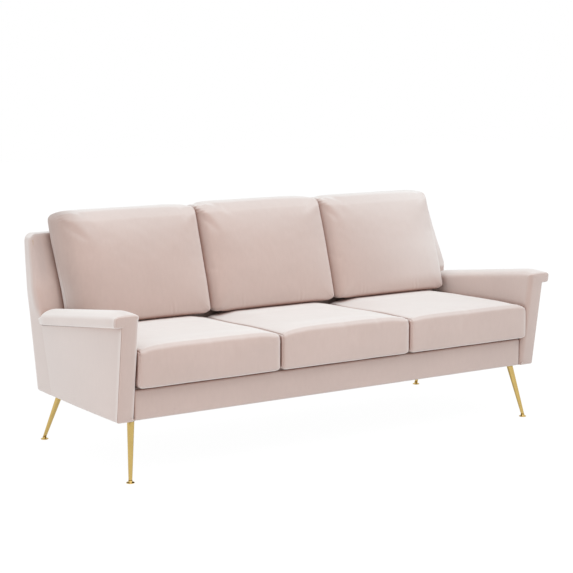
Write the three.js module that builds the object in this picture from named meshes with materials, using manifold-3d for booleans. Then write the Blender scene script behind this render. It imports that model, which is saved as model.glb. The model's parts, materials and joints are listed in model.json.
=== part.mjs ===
// Three-seat sofa: raked back panel, low arms that slope down to it, loose cushions, splayed metal legs.
// Millimetres. X runs to the right as the sofa is seen from the front, Y to the back and Z up.
// Y is counted from the front foot of the arms, and the finished sofa is centred over its origin.
import * as THREE from "three";
import { mergeVertices } from "three/addons/utils/BufferGeometryUtils.js";
import Module from "manifold-3d";

const wasm = await Module();
wasm.setup();

// Overall form
const seatWidth = 1760; // between the arms
const seats = 3;
const underside = 217; // floor to the underside of the frame
const armWidth = 66; // wall of an arm, upholstered
const armHeight = 601; // floor to the front top edge of an armrest
const armLean = 56; // an arm's top front edge stands this far ahead of its foot
const armFall = 76; // drop of the armrest on its way to the back panel
const lipReach = 29; // overhang of the armrest over the arm's outer face
const lipThickness = 39;
const armDepth = 512; // front foot of the arms to the back panel, at the underside
const armSplay = 14; // an arm's outer face stands this much wider at the back panel than at its front
const backThickness = 78; // at the top of the back panel
const backFootThickness = 130; // at the underside
const backHeight = 798; // floor to the top of the back panel
const backLean = 180; // how far the back panel's front leans over its height
const backReach = 2; // back panel beyond the rear of an arm's outer face, at the underside
const backTaper = 6; // each side of the back panel draws in by this much at the top
const backCorner = 26; // rounding of the back panel's top corners

// Upholstery over the frame
const sidePad = 8;
const frontPad = 14;
const topPad = 12;
const lipPad = 7; // under the overhang of the armrest
const backPad = 12; // on the back panel's front and sides
const backTopPad = 16;
const cloth = 6; // thin cover with no foam, behind the arms and the back panel
const softEdge = 7; // rounding of an upholstered edge
const armCorner = 14; // rounding of an arm's front and top corners, seen from the side
const railSetback = 4; // front rail's cover behind the arms' front feet
const railPad = 10;
const railRoll = 13; // height of the cover's roll on top of the front rail
const railRollDepth = 16;
const railRollEdge = 9;
const deckPad = 8;
const deckInset = 6;

// Loose cushions
const cushionGap = 3; // between two cushions, and half of it at an arm
const seatCushionHeight = 138;
const seatCushionFront = 37; // seat cushions stand ahead of the arms' feet
const seatCushionRear = 2; // clearance to the back panel
const seatCrown = 13;
const backCushionTop = 890; // floor to the top of the back cushions
const backCushionThickness = 108; // along their edges
const backCrown = 36;
const cushionCorner = 38; // rounding in plan
const cushionEdge = 24; // rounding between a face and a side
const cushionBulge = 3; // sides swell by this much at half their height
const cushionDraw = 3; // sides pull in by this much between their corners
const restMargin = 14; // seat crown ends this far ahead of the back cushions

// Timber
const board = 22; // thickness of rails and stretchers
const railHeight = 96;
const housing = 6; // depth of the slots that take the stretchers
const stretcherHeight = 62;
const blockSize = 60;
const blockNose = 16;
const blockHeight = 64;
const ply = 18; // arm side panel
const armPostDepth = 42;
const panelRim = 46; // material round an arm panel's openings
const panelCorner = 22;
const backPostWidth = 40;
const backRailHeight = 44;
const tenonLength = 18;
const tenonWidth = 22;
const tenonDepth = 30;

// Springs, webbing and cloth
const wire = 4; // diameter
const springsPerSeat = 3;
const springWidth = 48;
const springTurns = 13; // half waves
const springSteps = 4; // points on each half wave
const clipWidth = 18;
const clipDepth = 12;
const webbing = 2;
const webbingWidth = 60;
const dustCloth = 1;
const dustInset = 12;

// Legs
const legTopRadius = 12.5;
const legFootRadius = 6;
const legSplay = 32; // sideways, from the plate to the foot
const frontLegRun = 54; // forwards
const rearLegRun = 100; // backwards
const footRadius = 15;
const footRim = 2.5;
const footHeight = 9;
const footNeck = 7.5;
const plateSize = 64;
const plate = 3;
const plateCorner = 10;
const frontInboard = 10; // front plate's centre to the arm's inner face
const rearInboard = 6; // the same for a rear plate
const frontPlate = 54; // plate's centre behind the arms' front feet
const rearPlate = 38; // plate's centre ahead of the back panel's rear face
const rearLegShift = 19; // rear legs stand behind the centre of their plates
const screwSpacing = 44;
const screwRadius = 2;
const screwHead = 4;
const screwHeadHeight = 2;
const screwLength = 20;

// Fixing strap of an arm: a steel strip with two studs and their nuts
const strap = 3;
const strapWidth = 30;
const strapMargin = 24; // strip beyond its studs
const studRadius = 4;
const studHeight = 60; // above the underside
const studFront = 150; // front stud behind the arm's front foot
const studRear = 102; // rear stud ahead of the back panel, at the underside
const nutRadius = 8;
const nut = 7;

// Clearances
const gap = 0.3; // between pieces that touch
const studPlay = 0.6;
const overrun = 20; // cutters reach this far past what they cut
const weld = 0.001; // points closer than this are one point

// Facets
const rimSteps = 2;
const arcSteps = 4;
const sideSteps = 5;
const roundSides = 20;
const smallSides = 6;

// Shares
const webbingShares = [0.36, 0.68]; // of the back panel's height
const panelShare = 0.5; // where the rib between an arm panel's openings stands
const innerRingShares = [0.8, 0.55, 0.28]; // rings of points inside a cushion's face
const loopShare = 0.16; // how round a spring's loops are, of its half wave
const crownShare = 0.8;
const flatShare = 2.4;

// Places worked out from the sizes above
const armInner = seatWidth / 2;
const armOuter = armInner + armWidth;
const lipOuter = armOuter + lipReach;
const backSlope = backLean / (backHeight - underside);
const frontSlope = -armLean / (armHeight - underside);
const armSlope = armFall / (armDepth + armLean);
const railTop = underside + railHeight;
const deckBottom = railTop + gap + railRoll;
const deckTop = deckBottom + gap + deckPad;
const railFront = railSetback + railPad + gap;
const railBack = railFront + board;
const sideRail = armInner - gap - board; // inner face of a side rail
const rearRail = armDepth - gap - board; // front face of the rear rail, at the underside
const seatPitch = seatWidth / seats;
const seatTop = deckTop + gap + seatCushionHeight;
const backBottomHalf = armOuter + armSplay + backReach;
const backTopHalf = backBottomHalf - backTaper;
const backFrameHalf = backTopHalf - backPad - gap;
const backFrameFront = armDepth + backPad + webbing + 2 * gap;
const backFrameRear = armDepth + backThickness - cloth - gap;
const frontPlateX = armInner - frontInboard;
const rearPlateX = armInner - rearInboard;
const plateTop = underside - gap;
const rearPlateY = armDepth + backFootThickness - rearPlate;
const sides = { left: -1, right: 1 };

// Materials
const paint = (color, roughness, metalness) => {
  return new THREE.MeshStandardMaterial({ color, roughness, metalness });
};
const velvet = paint(0xdccbc6, 0.85, 0);
const brass = paint(0xd9b45c, 0.3, 1);
const timber = paint(0xc9a878, 0.8, 0);
const plywood = paint(0xd2b78c, 0.8, 0);
const steel = paint(0x8c8f93, 0.4, 1);
const canvas = paint(0x2a2928, 0.95, 0);
const jute = paint(0xb59a6b, 0.95, 0);

// Solids

// A closed geometry as a solid that can be joined and cut.
function solid(geometry) {
  const bare = new THREE.BufferGeometry();
  bare.setAttribute("position", geometry.getAttribute("position"));
  bare.setIndex(geometry.index);
  const merged = mergeVertices(bare, weld);
  const mesh = new wasm.Mesh({
    numProp: 3,
    vertProperties: merged.getAttribute("position").array,
    triVerts: new Uint32Array(merged.index.array),
  });
  return new wasm.Manifold(mesh);
}

function geometryOf(body) {
  const mesh = body.getMesh();
  const geometry = new THREE.BufferGeometry();
  geometry.setAttribute("position", new THREE.BufferAttribute(mesh.vertProperties, mesh.numProp));
  geometry.setIndex(new THREE.BufferAttribute(mesh.triVerts, 1));
  geometry.computeVertexNormals();
  return geometry;
}

function cut(body, ...cutters) {
  return cutters.reduce((rest, cutter) => rest.subtract(cutter), body);
}

function join(...bodies) {
  return bodies.reduce((whole, body) => whole.add(body));
}

// Faces of a skin over rings of points that follow each other, each ring with as many points.
function skinFaces(count, rings) {
  const faces = [];
  for (let i = 0; i < rings - 1; i += 1) {
    for (let j = 0; j < count; j += 1) {
      const a = i * count + j;
      const b = i * count + ((j + 1) % count);
      faces.push(a, b, a + count, b, b + count, a + count);
    }
  }
  return faces;
}

// Leans a solid back with the back panel's front: its points move back in step with their height.
function rake(body) {
  const lean = new THREE.Matrix4().set(
    1, 0, 0, 0,
    0, 1, backSlope, -backSlope * underside,
    0, 0, 1, 0,
    0, 0, 0, 1,
  );
  return solid(geometryOf(body).applyMatrix4(lean));
}

// Leans a piece of the back panel back and makes it deeper towards the panel's foot.
function rakePanel(body) {
  const geometry = geometryOf(body);
  const position = geometry.getAttribute("position");
  for (let i = 0; i < position.count; i += 1) {
    const share = (position.getZ(i) - underside) / (backHeight - underside);
    const thickness = backFootThickness + (backThickness - backFootThickness) * share;
    const depth = ((position.getY(i) - armDepth) / backThickness) * thickness;
    position.setY(i, armDepth + backLean * share + depth);
  }
  return solid(geometry);
}

// A closed outline through points, whose corners are softened by radii.
function outline(points, radii = 0) {
  const shape = new THREE.Shape();
  points.forEach((point, i) => {
    const radius = Array.isArray(radii) ? radii[i] : radii;
    const corner = new THREE.Vector2(...point);
    const before = new THREE.Vector2(...points.at(i - 1)).sub(corner);
    const after = new THREE.Vector2(...points[(i + 1) % points.length]).sub(corner);
    const start = before.setLength(radius).add(corner);
    const end = after.setLength(radius).add(corner);
    if (i === 0) shape.moveTo(start.x, start.y);
    else shape.lineTo(start.x, start.y);
    if (radius) shape.quadraticCurveTo(corner.x, corner.y, end.x, end.y);
  });
  return shape;
}

// An outline's prism from low to high on its own axis, with rounded rims.
function prism(shape, low, high, rim) {
  const geometry = new THREE.ExtrudeGeometry(shape, {
    depth: high - low - 2 * rim,
    bevelEnabled: rim > 0,
    bevelThickness: rim,
    bevelSize: rim,
    bevelOffset: -rim,
    bevelSegments: rimSteps,
    curveSegments: arcSteps,
  });
  return geometry.translate(0, 0, low + rim);
}

// Drawn in X and Y, extruded up.
function alongZ(shape, low, high, rim = 0) {
  return solid(prism(shape, low, high, rim));
}

// Drawn in X and Z, extruded back.
function alongY(shape, low, high, rim = 0) {
  return solid(prism(shape, -high, -low, rim).rotateX(Math.PI / 2));
}

// Drawn in Y and Z, extruded sideways between two distances from the middle on one side.
function alongX(side, shape, near, far, rim = 0) {
  const low = Math.min(side * near, side * far);
  const high = Math.max(side * near, side * far);
  const geometry = prism(shape, low, high, rim);
  return solid(geometry.rotateX(Math.PI / 2).rotateZ(Math.PI / 2));
}

// The same, with the far face turned outwards on its way to the back panel, as an arm's wall is.
function splayed(side, shape, near, far, rim = 0) {
  const geometry = geometryOf(alongX(side, shape, near, far, rim));
  const position = geometry.getAttribute("position");
  for (let i = 0; i < position.count; i += 1) {
    const share = (side * position.getX(i) - near) / (far - near);
    const shift = (armSplay * share * (position.getY(i) + armLean)) / (armDepth + armLean);
    position.setX(i, position.getX(i) + side * shift);
  }
  return solid(geometry);
}

function block(x, y, z) {
  const geometry = new THREE.BoxGeometry(x[1] - x[0], y[1] - y[0], z[1] - z[0]);
  geometry.translate((x[0] + x[1]) / 2, (y[0] + y[1]) / 2, (z[0] + z[1]) / 2);
  return solid(geometry);
}

// A round bar from low to high along X or Z, through a point.
function bar(axis, radius, low, high, at, facets = smallSides) {
  const geometry = new THREE.CylinderGeometry(radius, radius, high - low, facets);
  if (axis === "z") geometry.rotateX(Math.PI / 2);
  else geometry.rotateZ(Math.PI / 2);
  const middle = (low + high) / 2;
  if (axis === "z") geometry.translate(at[0], at[1], middle);
  else geometry.translate(middle, at[0], at[1]);
  return solid(geometry);
}

// Edges that lean in the side view: where they meet the underside's level, and how they slope.
const frontEdge = (inset) => ({ foot: inset, slope: frontSlope });
const backEdge = (inset) => ({ foot: armDepth - inset, slope: backSlope });
const uprightEdge = (foot) => ({ foot, slope: 0 });

function onEdge(edge, rise) {
  return [edge.foot + edge.slope * rise, underside + rise];
}

// Where an edge meets the line that lies a drop below the armrest's top.
function underArmrest(edge, drop) {
  const reach = armHeight - drop - underside - armSlope * (edge.foot + armLean);
  return onEdge(edge, reach / (1 + armSlope * edge.slope));
}

// Side-view outlines: up to the armrest, along the armrest, and up to a level.
function armOutline(front, back, drop, floor = 0) {
  const top = [underArmrest(back, drop), underArmrest(front, drop)];
  return [onEdge(front, floor), onEdge(back, floor), ...top];
}

function restOutline(front, back, upper, lower) {
  const low = [underArmrest(front, lower), underArmrest(back, lower)];
  return [...low, underArmrest(back, upper), underArmrest(front, upper)];
}

function levelOutline(front, back, low, high) {
  const base = [onEdge(front, low - underside), onEdge(back, low - underside)];
  return [...base, onEdge(back, high - underside), onEdge(front, high - underside)];
}

const sofa = new THREE.Group();

function add(name, body, material) {
  const mesh = new THREE.Mesh(geometryOf(body), material);
  mesh.name = name;
  sofa.add(mesh);
}

// Legs, their feet and plates

const legs = Object.entries(sides).flatMap(([sideName, side]) => [
  {
    name: "front_" + sideName,
    plate: [side * frontPlateX, frontPlate],
    top: [side * frontPlateX, frontPlate],
    foot: [side * (frontPlateX + legSplay), frontPlate - frontLegRun],
  },
  {
    name: "rear_" + sideName,
    plate: [side * rearPlateX, rearPlateY],
    top: [side * rearPlateX, rearPlateY + rearLegShift],
    foot: [side * (rearPlateX + legSplay), rearPlateY + rearLegShift + rearLegRun],
  },
]);

// The four places of a plate's screws.
function screwPlaces(centre) {
  const half = screwSpacing / 2;
  return [-half, half].flatMap((x) => [-half, half].map((y) => [centre[0] + x, centre[1] + y]));
}

// Pilot holes that the screws of all four plates leave in the timber above them.
const pilotHoles = legs.flatMap((leg) => {
  const reach = underside + screwLength + gap;
  return screwPlaces(leg.plate).map((at) => bar("z", screwRadius + gap, underside - overrun, reach, at));
});

// A tapered tube from the plate to the foot, cut level at both ends.
function legBody(leg) {
  const low = new THREE.Vector3(...leg.foot, footHeight + gap);
  const high = new THREE.Vector3(...leg.top, plateTop - plate - gap);
  const axis = high.clone().sub(low);
  const taper = (legTopRadius - legFootRadius) / axis.length();
  const length = axis.length() + 2 * overrun;
  const radii = [legTopRadius + taper * overrun, legFootRadius - taper * overrun];
  const cone = new THREE.CylinderGeometry(...radii, length, roundSides);
  const turn = new THREE.Quaternion().setFromUnitVectors(THREE.Object3D.DEFAULT_UP, axis.clone().normalize());
  cone.applyQuaternion(turn);
  cone.translate(...low.add(high).divideScalar(2));
  const reach = Math.abs(leg.foot[0]) + overrun + legTopRadius;
  const span = [leg.foot[1], leg.top[1]].sort((a, b) => a - b);
  const depth = [span[0] - overrun - legTopRadius, span[1] + overrun + legTopRadius];
  return solid(cone).intersect(block([-reach, reach], depth, [footHeight + gap, plateTop - plate - gap]));
}

// A flat disc that domes up to the neck that carries the leg.
function footBody(leg) {
  const profile = new THREE.Path();
  profile.moveTo(0, 0);
  profile.lineTo(footRadius, 0);
  profile.lineTo(footRadius, footRim);
  profile.quadraticCurveTo(footNeck, footRim, footNeck, footHeight);
  profile.lineTo(0, footHeight);
  const lathe = new THREE.LatheGeometry(profile.getPoints(arcSteps), roundSides);
  lathe.rotateX(Math.PI / 2);
  lathe.translate(leg.foot[0], leg.foot[1], 0);
  return solid(lathe);
}

function plateBody(leg) {
  const half = plateSize / 2;
  const [x, y] = leg.plate;
  const square = [[x - half, y - half], [x + half, y - half], [x + half, y + half], [x - half, y + half]];
  const sheet = alongZ(outline(square, plateCorner), plateTop - plate, plateTop);
  const screws = screwPlaces(leg.plate).map((at) => {
    const head = bar("z", screwHead, plateTop - plate - screwHeadHeight, plateTop - plate / 2, at);
    return join(head, bar("z", screwRadius, plateTop - plate / 2, underside + screwLength, at));
  });
  return join(sheet, ...screws);
}

for (const leg of legs) {
  add("leg_" + leg.name, legBody(leg), brass);
  add("foot_" + leg.name, footBody(leg), brass);
  add("leg_plate_" + leg.name, plateBody(leg), steel);
}

// Seat box

const stretcherPlaces = [-1, 1].map((side) => (side * seatPitch) / 2);
const railSpan = [-armInner + gap, armInner - gap];
const studPlaces = [studFront, armDepth - studRear].map((y) => [y, underside + studHeight]);

// Slots for the stretchers, from the underside up.
function housings(low, high) {
  const half = board / 2 + gap;
  const height = [underside - overrun, underside + stretcherHeight + gap];
  return stretcherPlaces.map((x) => block([x - half, x + half], [low, high], height));
}

// Holes for the studs of an arm's strap.
function studHoles(side) {
  const reach = [side * (sideRail - overrun), side * (armOuter - sidePad - gap)];
  const [low, high] = reach.sort((a, b) => a - b);
  return studPlaces.map((at) => bar("x", studRadius + studPlay, low, high, at, 2 * smallSides));
}

const frontRail = block(railSpan, [railFront, railBack], [underside, railTop]);
add("front_rail", cut(frontRail, ...housings(railBack - housing, railBack + overrun), ...pilotHoles), timber);

const rearRailBody = block(railSpan, [rearRail, rearRail + board], [underside, railTop]);
add("rear_rail", rake(cut(rearRailBody, ...housings(rearRail - overrun, rearRail + housing))), timber);

stretcherPlaces.forEach((x, i) => {
  const front = uprightEdge(railBack - housing + gap);
  const back = backEdge(gap + board - housing + gap);
  const shape = outline(levelOutline(front, back, underside, underside + stretcherHeight));
  add("stretcher_" + Object.keys(sides)[i], alongX(1, shape, x - board / 2, x + board / 2), timber);
});

for (const [sideName, side] of Object.entries(sides)) {
  const ends = [uprightEdge(railBack + gap), backEdge(board + 2 * gap)];
  const shape = outline(levelOutline(...ends, underside, railTop));
  const rail = alongX(side, shape, sideRail, sideRail + board);
  add("side_rail_" + sideName, cut(rail, ...studHoles(side), ...pilotHoles), timber);
}

// A corner block with a nose cut off its inner corner, seen from below.
function cornerBlock(side, start, direction) {
  const x = [sideRail - gap, sideRail - gap - blockSize];
  const y = [start, start + direction * blockSize];
  const points = [
    [side * x[0], y[0]],
    [side * x[1], y[0]],
    [side * x[1], y[0] + direction * blockNose],
    [side * (x[0] - blockNose), y[1]],
    [side * x[0], y[1]],
  ];
  return alongZ(outline(points), underside, underside + blockHeight);
}

for (const [sideName, side] of Object.entries(sides)) {
  const front = cornerBlock(side, railBack + gap, 1);
  add("corner_block_front_" + sideName, cut(front, ...pilotHoles), timber);
  add("corner_block_rear_" + sideName, rake(cornerBlock(side, rearRail - gap, -1)), timber);
}

// Serpentine springs

// A wire of four sides along points, closed at both ends.
function wireSolid(points, radius) {
  const corners = [[1, 0], [0, 1], [-1, 0], [0, -1]];
  const positions = points.flatMap((point, i) => {
    const ahead = points[Math.min(i + 1, points.length - 1)];
    const behind = points[Math.max(i - 1, 0)];
    const run = ahead.clone().sub(behind).normalize();
    const across = new THREE.Vector3(-run.y, run.x, 0).normalize();
    const up = run.clone().cross(across);
    return corners.flatMap(([a, b]) => {
      return point.clone().addScaledVector(across, a * radius).addScaledVector(up, b * radius).toArray();
    });
  });
  const count = corners.length;
  const faces = skinFaces(count, points.length);
  const last = (points.length - 1) * count;
  faces.push(0, 2, 1, 0, 3, 2, last, last + 1, last + 2, last, last + 2, last + 3);
  const geometry = new THREE.BufferGeometry();
  geometry.setAttribute("position", new THREE.Float32BufferAttribute(positions, 3));
  geometry.setIndex(faces);
  return solid(geometry);
}

// One spring with the clips that hold its ends on the two rails.
function springBody(x) {
  const start = (railSetback + railRollDepth + railBack) / 2;
  const end = rearRail + board / 2 + backSlope * railHeight;
  const low = railTop + gap + wire / 2;
  const high = deckBottom - gap - wire / 2;
  const halfWave = (end - start) / springTurns;
  const points = [];
  for (let i = 0; i <= springTurns * springSteps; i += 1) {
    const turn = (i / springSteps) * Math.PI;
    const t = i / (springTurns * springSteps);
    const loop = loopShare * halfWave * Math.sin(2 * turn);
    const height = low + (high - low) * Math.sin(Math.PI * t);
    const wave = (springWidth / 2) * Math.sin(turn);
    points.push(new THREE.Vector3(x + wave, start + halfWave * (i / springSteps) - loop, height));
  }
  const clips = [start, end].map((y) => {
    const depth = [y - clipDepth / 2, y + clipDepth / 2];
    return block([x - clipWidth / 2, x + clipWidth / 2], depth, [railTop + gap, railTop + gap + wire]);
  });
  return join(wireSolid(points, wire / 2), ...clips);
}

const springSpacing = seatPitch / springsPerSeat;
for (let i = 0; i < seats * springsPerSeat; i += 1) {
  const x = (i - (seats * springsPerSeat - 1) / 2) * springSpacing;
  add("seat_spring_" + (i + 1), springBody(x), steel);
}

// Covers of the seat box

const railRollTop = railTop + gap + railRoll;
const railCoverPoints = [
  [railSetback, underside],
  [railSetback + railPad, underside],
  [railSetback + railPad, railTop + gap],
  [railSetback + railRollDepth, railTop + gap],
  [railSetback + railRollDepth, railRollTop],
  [railSetback, railRollTop],
];
const railCoverShape = outline(railCoverPoints, [0, 0, 0, 0, railRollEdge / 2, railRollEdge]);
add("front_rail_cover", alongX(1, railCoverShape, ...railSpan), velvet);

const deckEdges = [uprightEdge(railSetback + deckInset), backEdge(gap)];
const deckShape = outline(levelOutline(...deckEdges, deckBottom + gap, deckTop));
add("seat_deck", alongX(1, deckShape, ...railSpan), jute);

// The cloth under the seat box leaves the four plates free.
function dustCoverBody() {
  const wide = armOuter - dustInset;
  const narrow = frontPlateX - plateSize / 2 - deckInset;
  const front = railSetback + dustInset;
  const rear = armDepth + backFootThickness - dustInset;
  const frontNotch = frontPlate + plateSize / 2 + deckInset;
  const rearNotch = rearPlateY - plateSize / 2 - deckInset;
  const right = [
    [narrow, front],
    [narrow, frontNotch],
    [wide, frontNotch],
    [wide, rearNotch],
    [narrow, rearNotch],
    [narrow, rear],
  ];
  const left = right.map(([x, y]) => [-x, y]).reverse();
  return alongZ(outline([...right, ...left]), plateTop - dustCloth, plateTop);
}
add("dust_cover", dustCoverBody(), canvas);

// Arms

const restBottom = lipThickness - lipPad; // underside of the armrest board, below the armrest's top
const coverBack = gap + cloth;

function armCoverBody(side) {
  const wall = outline(armOutline(frontEdge(0), backEdge(gap), topPad), armCorner);
  const lip = outline(restOutline(frontEdge(0), backEdge(gap), 0, lipThickness), armCorner);
  const skin = join(
    splayed(side, wall, armInner, armOuter, softEdge),
    alongX(side, lip, armInner, lipOuter, softEdge),
  );
  const wallRoom = outline(armOutline(frontEdge(frontPad), backEdge(coverBack), topPad, -overrun));
  const lipRoom = outline(restOutline(frontEdge(frontPad), backEdge(coverBack), topPad, restBottom));
  return cut(
    skin,
    splayed(side, wallRoom, armInner + sidePad, armOuter - sidePad),
    alongX(side, lipRoom, armInner + sidePad, lipOuter - topPad),
    ...studHoles(side),
  );
}

function armPanelBody(side) {
  const near = armInner + sidePad + gap;
  const front = frontEdge(frontPad + gap);
  const back = backEdge(coverBack + gap);
  const panel = alongX(side, outline(armOutline(front, back, restBottom)), near, near + ply);
  const middle = (front.foot + back.foot) * panelShare;
  const ribs = [uprightEdge(middle - panelRim / 2), uprightEdge(middle + panelRim / 2)];
  const openings = [
    [frontEdge(front.foot + panelRim), ribs[0]],
    [ribs[1], backEdge(coverBack + gap + panelRim)],
  ];
  const holes = openings.map(([a, b]) => {
    const low = studHeight + strapWidth / 2 + studRadius;
    const hole = outline(armOutline(a, b, restBottom + panelRim, low), panelCorner);
    return alongX(side, hole, near - overrun, near + ply + overrun);
  });
  return cut(panel, ...holes, ...studHoles(side), ...pilotHoles);
}

function armPostBody(side) {
  const near = armInner + sidePad + gap + ply + gap;
  const front = frontPad + gap;
  const shape = outline(armOutline(frontEdge(front), frontEdge(front + armPostDepth), restBottom));
  return cut(alongX(side, shape, near, armOuter - sidePad - gap), ...pilotHoles);
}

function armRestBody(side) {
  const front = frontEdge(frontPad + gap);
  const back = backEdge(coverBack + gap);
  const shape = outline(restOutline(front, back, topPad + gap, restBottom - gap));
  return alongX(side, shape, armInner + sidePad + gap, lipOuter - topPad - gap);
}

// A strip against the arm panel, with two studs that reach through the side rail to their nuts.
function armStrapBody(side) {
  const near = armInner + sidePad + gap + ply + gap;
  const heights = [underside + studHeight - strapWidth / 2, underside + studHeight + strapWidth / 2];
  const ends = [uprightEdge(studFront - strapMargin), uprightEdge(armDepth - studRear + strapMargin)];
  const strip = alongX(side, outline(levelOutline(...ends, ...heights), armCorner), near, near + strap);
  const studs = studPlaces.flatMap((at) => {
    const inner = sideRail - gap;
    const reach = [side * (inner - nut), side * (near + strap / 2)].sort((a, b) => a - b);
    const nutReach = [side * (inner - nut), side * inner].sort((a, b) => a - b);
    return [bar("x", studRadius, ...reach, at, 2 * smallSides), bar("x", nutRadius, ...nutReach, at)];
  });
  return join(strip, ...studs);
}

for (const [sideName, side] of Object.entries(sides)) {
  add("arm_cover_" + sideName, armCoverBody(side), velvet);
  add("arm_panel_" + sideName, armPanelBody(side), plywood);
  add("arm_post_" + sideName, armPostBody(side), timber);
  add("armrest_board_" + sideName, armRestBody(side), timber);
  add("arm_strap_" + sideName, armStrapBody(side), steel);
}

// Back panel

function backOutline(bottomHalf, topHalf, low, high) {
  return [[-bottomHalf, low], [bottomHalf, low], [topHalf, high], [-topHalf, high]];
}

function backCoverBody() {
  const panel = backOutline(backBottomHalf, backTopHalf, underside, backHeight);
  const shape = outline(panel, [0, 0, backCorner, backCorner]);
  const skin = alongY(shape, armDepth, armDepth + backThickness, softEdge);
  const roomSpan = [underside - overrun, backHeight - backTopPad];
  const room = outline(backOutline(backBottomHalf - backPad, backTopHalf - backPad, ...roomSpan));
  return rakePanel(cut(skin, alongY(room, armDepth + backPad, armDepth + backThickness - cloth)));
}
add("back_cover", backCoverBody(), velvet);

const frameDepth = [backFrameFront, backFrameRear];
const bottomRailTop = underside + backRailHeight;
const topRailTop = backHeight - backTopPad - gap;
const topRailBottom = topRailTop - backRailHeight;
const postEdge = backFrameHalf - backPostWidth / 2;
const backPosts = {
  outer_left: -postEdge,
  inner_left: -seatPitch / 2,
  inner_right: seatPitch / 2,
  outer_right: postEdge,
};

// A tenon or the mortise that takes it, which is larger by its play.
function tenon(x, low, high, play = 0) {
  const middle = (backFrameFront + backFrameRear) / 2;
  const width = [x - tenonWidth / 2 - play, x + tenonWidth / 2 + play];
  return block(width, [middle - tenonDepth / 2 - play, middle + tenonDepth / 2 + play], [low, high]);
}

const mortises = Object.values(backPosts).flatMap((x) => [
  tenon(x, bottomRailTop - tenonLength - gap, bottomRailTop + overrun, gap),
  tenon(x, topRailBottom - overrun, topRailBottom + tenonLength + gap, gap),
]);
const backRailSpan = [-backFrameHalf, backFrameHalf];
const bottomRail = cut(block(backRailSpan, frameDepth, [underside, bottomRailTop]), ...mortises);
add("back_bottom_rail", cut(rakePanel(bottomRail), ...pilotHoles), timber);
const topRail = cut(block(backRailSpan, frameDepth, [topRailBottom, topRailTop]), ...mortises);
add("back_top_rail", rakePanel(topRail), timber);

for (const [postName, x] of Object.entries(backPosts)) {
  const width = [x - backPostWidth / 2, x + backPostWidth / 2];
  const post = block(width, frameDepth, [bottomRailTop + gap, topRailBottom - gap]);
  const tongue = tenon(x, bottomRailTop - tenonLength, topRailBottom + tenonLength);
  add("back_post_" + postName, rakePanel(join(post, tongue)), timber);
}

webbingShares.forEach((share, i) => {
  const low = underside + share * (backHeight - underside) - webbingWidth / 2;
  const depth = [backFrameFront - gap - webbing, backFrameFront - gap];
  add("back_webbing_" + (i + 1), rakePanel(block(backRailSpan, depth, [low, low + webbingWidth])), jute);
});

// Cushions

// Points and outward directions round a cushion's plan, with its sides drawn in between the corners.
function cushionRing(width, depth) {
  const ring = [];
  const reach = [width / 2 - cushionCorner, depth / 2 - cushionCorner];
  const quarters = [[1, -1], [1, 1], [-1, 1], [-1, -1]];
  quarters.forEach(([sx, sy], i) => {
    const begin = (i - 1) * (Math.PI / 2);
    for (let j = 0; j <= arcSteps; j += 1) {
      const angle = begin + (j / arcSteps) * (Math.PI / 2);
      const out = new THREE.Vector2(Math.cos(angle), Math.sin(angle));
      const at = new THREE.Vector2(sx * reach[0], sy * reach[1]).addScaledVector(out, cushionCorner);
      ring.push({ at, out });
    }
    const out = new THREE.Vector2(Math.cos(begin + Math.PI / 2), Math.sin(begin + Math.PI / 2)).round();
    const from = ring.at(-1).at;
    const [nx, ny] = quarters[(i + 1) % quarters.length];
    const to = new THREE.Vector2(nx * reach[0], ny * reach[1]).addScaledVector(out, cushionCorner);
    for (let j = 1; j < sideSteps; j += 1) {
      const t = j / sideSteps;
      const draw = cushionDraw * 4 * t * (1 - t);
      ring.push({ at: from.clone().lerp(to, t).addScaledVector(out, -draw), out });
    }
  });
  return ring;
}

// A crowned cushion: its lower face is flat at zero, and crown gives the rise of its upper face.
function cushionSolid(width, depth, height, crown) {
  const ring = cushionRing(width, depth);
  const middle = height / 2;
  const slant = Math.SQRT1_2;
  const levels = [
    [cushionEdge + cushionBulge, 0],
    [cushionEdge * (1 - slant) + cushionBulge, cushionEdge * (1 - slant)],
    [cushionBulge, cushionEdge],
    [0, middle],
    [cushionBulge, height - cushionEdge],
    [cushionEdge * (1 - slant) + cushionBulge, height - cushionEdge * (1 - slant)],
    [cushionEdge + cushionBulge, height],
  ];
  const drawnIn = (inset, share, z) => {
    return ring.map(({ at, out }) => [at.clone().addScaledVector(out, -inset).multiplyScalar(share), z]);
  };
  const inner = cushionEdge + cushionBulge;
  const rings = [
    drawnIn(inner, innerRingShares[1], 0),
    ...levels.map(([inset, z]) => drawnIn(inset, 1, z)),
    ...innerRingShares.map((share) => drawnIn(inner, share, height)),
  ];
  const rise = (x, y, z) => z + (crown(x, y) * Math.max(0, z - middle)) / middle;
  const positions = rings.flat().flatMap(([at, z]) => [at.x, at.y, rise(at.x, at.y, z)]);
  positions.push(0, 0, 0, 0, 0, rise(0, 0, height));
  const count = ring.length;
  const faces = skinFaces(count, rings.length);
  const last = (rings.length - 1) * count;
  for (let j = 0; j < count; j += 1) {
    const next = (j + 1) % count;
    faces.push(rings.length * count, next, j, rings.length * count + 1, last + j, last + next);
  }
  const geometry = new THREE.BufferGeometry();
  geometry.setAttribute("position", new THREE.Float32BufferAttribute(positions, 3));
  geometry.setIndex(faces);
  return geometry;
}

// Full in the middle and falling to nothing at both ends of a span.
const swell = (t) => Math.max(0, 4 * t * (1 - t)) ** crownShare;
const level = (share) => Math.max(0, 1 - Math.abs(share) ** flatShare);

const cushionWidth = seatPitch - cushionGap;
const seatDepth = armDepth + backSlope * (deckTop - underside) - seatCushionRear + seatCushionFront;
const backCushionBottom = seatTop + gap;
const restStart = armDepth + backSlope * (backCushionBottom - underside) - backCushionThickness - restMargin;

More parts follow.
